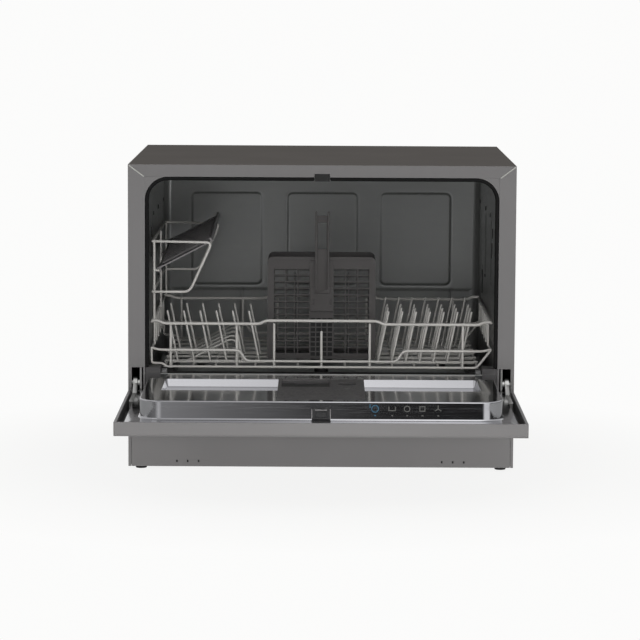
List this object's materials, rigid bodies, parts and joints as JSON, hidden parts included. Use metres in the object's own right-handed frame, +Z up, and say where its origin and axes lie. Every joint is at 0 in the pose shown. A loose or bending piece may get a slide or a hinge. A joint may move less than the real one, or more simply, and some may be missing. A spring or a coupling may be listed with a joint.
{
  "type": "countertop dishwasher",
  "caption": "Compact dishwasher standing on four feet, its drop-down front door open on a wire rack with tines, a folding cup shelf and a cutlery basket in a steel tub.",
  "frame": {"origin": "on the surface it stands on, under the middle of the box of the machine with its door open", "axes": "+X to the right seen from the front, +Y to the back, +Z up; the door opens towards -Y"},
  "size_m": [0.55, 0.784, 0.438],
  "materials": {
    "top_paint": "satin, brownish grey where it faces up",
    "body_paint": "satin grey paint",
    "base_plastic": "moulded",
    "foot_rubber": "matte",
    "tub_steel": "bright rolled stainless",
    "gasket_rubber": "matte black",
    "black_plastic": "moulded",
    "zinc_steel": "zinc plated",
    "grey_plastic": "moulded",
    "roller_plastic": "moulded",
    "filter_plastic": "moulded mesh",
    "arm_steel": "pressed stainless",
    "pump_plastic": "moulded",
    "valve_plastic": "moulded white",
    "circuit_board": "solder mask",
    "liner_steel": "bright polished stainless",
    "fascia_plastic": "satin moulded",
    "display_lens": "smoked lens",
    "symbol_print": "printed",
    "latch_plastic": "moulded",
    "lid_plastic": "moulded",
    "button_plastic": "moulded",
    "rack_coating": "nylon coated wire",
    "basket_plastic": "moulded"
  },
  "bodies": {
    "cabinet": {"top_panel": "top_paint", "side_panel_left": "body_paint", "side_panel_right": "body_paint", "rear_panel": "body_paint", "front_plinth": "body_paint", "base_tray": "base_plastic", "feet": "foot_rubber", "tub": "tub_steel", "tub_gasket": "gasket_rubber", "sill_seal": "gasket_rubber", "latch_strike": "black_plastic", "hinge_brackets": "zinc_steel", "rack_rails": "grey_plastic", "sump": "base_plastic", "filter_plate": "tub_steel", "spray_hub": "grey_plastic", "circulation_pump": "pump_plastic", "drain_pump": "pump_plastic", "heater": "zinc_steel", "inlet_valve": "valve_plastic", "drain_port": "pump_plastic", "control_board": "circuit_board", "cord_gland": "gasket_rubber"},
    "door": {"door_panel": "body_paint", "door_liner": "liner_steel", "control_fascia": "fascia_plastic", "display_window": "display_lens", "program_symbols": "symbol_print", "handle_cup": "black_plastic", "door_board": "circuit_board", "latch_case": "latch_plastic", "dispenser_body": "grey_plastic", "hinge_arm_left": "zinc_steel", "hinge_arm_right": "zinc_steel"},
    "latch_bolt": {"latch_bolt": "latch_plastic"},
    "detergent_lid": {"detergent_lid": "lid_plastic"},
    "lid_catch": {"lid_catch": "roller_plastic"},
    "rinse_aid_cap": {"rinse_aid_cap": "lid_plastic"},
    "button_1": {"button_1": "button_plastic"},
    "button_2": {"button_2": "button_plastic"},
    "button_3": {"button_3": "button_plastic"},
    "button_4": {"button_4": "button_plastic"},
    "rack": {"rack_ends": "rack_coating", "rack_sides": "rack_coating", "rack_base": "rack_coating", "rack_uprights": "rack_coating", "rack_tines": "rack_coating", "cup_shelf_frame": "rack_coating"},
    "cup_shelf": {"cup_shelf": "basket_plastic"},
    "basket": {"basket_front_wall": "basket_plastic", "basket_rear_wall": "basket_plastic", "basket_ends": "basket_plastic", "basket_dividers": "basket_plastic", "basket_handle": "basket_plastic"},
    "spray_arm": {"spray_arm": "arm_steel"},
    "fine_filter": {"fine_filter": "filter_plastic"},
    "float": {"float_cup": "filter_plastic"},
    "circulation_impeller": {"circulation_impeller": "roller_plastic"},
    "roller_left": {"rack_roller_left": "roller_plastic"},
    "roller_right": {"rack_roller_right": "roller_plastic"}
  },
  "joints": [
    {"name": "door_hinge", "type": "hinge", "parent": "cabinet", "child": "door", "pos_m": [0, -0.07925, 0.12525], "axis": [-1, 0, 0], "range_deg": [0, 90]},
    {"name": "rack_slide", "type": "slide", "parent": "cabinet", "child": "rack", "axis": [0, 1, 0], "range_m": [-0.28, 0]},
    {"name": "cup_shelf_fold", "type": "hinge", "parent": "rack", "child": "cup_shelf", "pos_m": [-0.2333, -0.0568, 0.2843], "axis": [0, -0.9991, -0.0419], "range_deg": [0, 45]},
    {"name": "basket_lift", "type": "slide", "parent": "rack", "child": "basket", "axis": [0, 0, 1], "range_m": [0, 0.035]},
    {"name": "spray_arm_spin", "type": "hinge", "parent": "cabinet", "child": "spray_arm", "pos_m": [0, 0.127, 0.127], "axis": [0, 0, 1], "continuous": true},
    {"name": "fine_filter_turn", "type": "hinge", "parent": "cabinet", "child": "fine_filter", "pos_m": [0, 0.062, 0.112], "axis": [0, 0, 1], "range_deg": [0, 40]},
    {"name": "float_rise", "type": "slide", "parent": "cabinet", "child": "float", "axis": [0, 0, 1], "range_m": [0, 0.006]},
    {"name": "circulation_impeller_spin", "type": "hinge", "parent": "cabinet", "child": "circulation_impeller", "pos_m": [0.066, 0.062, 0.066], "axis": [1, 0, 0], "continuous": true},
    {"name": "roller_left_spin", "type": "hinge", "parent": "cabinet", "child": "roller_left", "pos_m": [-0.2245, -0.064, 0.1377], "axis": [1, 0, 0], "continuous": true},
    {"name": "roller_right_spin", "type": "hinge", "parent": "cabinet", "child": "roller_right", "pos_m": [0.2245, -0.064, 0.1377], "axis": [1, 0, 0], "continuous": true},
    {"name": "latch_bolt_throw", "type": "slide", "parent": "door", "child": "latch_bolt", "axis": [0, -1, 0], "range_m": [0, 0.006]},
    {"name": "detergent_lid_slide", "type": "slide", "parent": "door", "child": "detergent_lid", "axis": [0, 1, 0], "range_m": [0, 0.034]},
    {"name": "lid_catch_press", "type": "slide", "parent": "door", "child": "lid_catch", "axis": [0, 0, -1], "range_m": [0, 0.0015], "stiffness_N_per_m": 300},
    {"name": "rinse_aid_cap_turn", "type": "hinge", "parent": "door", "child": "rinse_aid_cap", "pos_m": [0.036, -0.198, 0.1382], "axis": [0, 0, 1], "range_deg": [0, 90]},
    {"name": "button_1_press", "type": "slide", "parent": "door", "child": "button_1", "axis": [0, 0, 1], "range_m": [0, 0.0015], "stiffness_N_per_m": 300},
    {"name": "button_2_press", "type": "slide", "parent": "door", "child": "button_2", "axis": [0, 0, 1], "range_m": [0, 0.0015], "stiffness_N_per_m": 300},
    {"name": "button_3_press", "type": "slide", "parent": "door", "child": "button_3", "axis": [0, 0, 1], "range_m": [0, 0.0015], "stiffness_N_per_m": 300},
    {"name": "button_4_press", "type": "slide", "parent": "door", "child": "button_4", "axis": [0, 0, 1], "range_m": [0, 0.0015], "stiffness_N_per_m": 300}
  ]
}
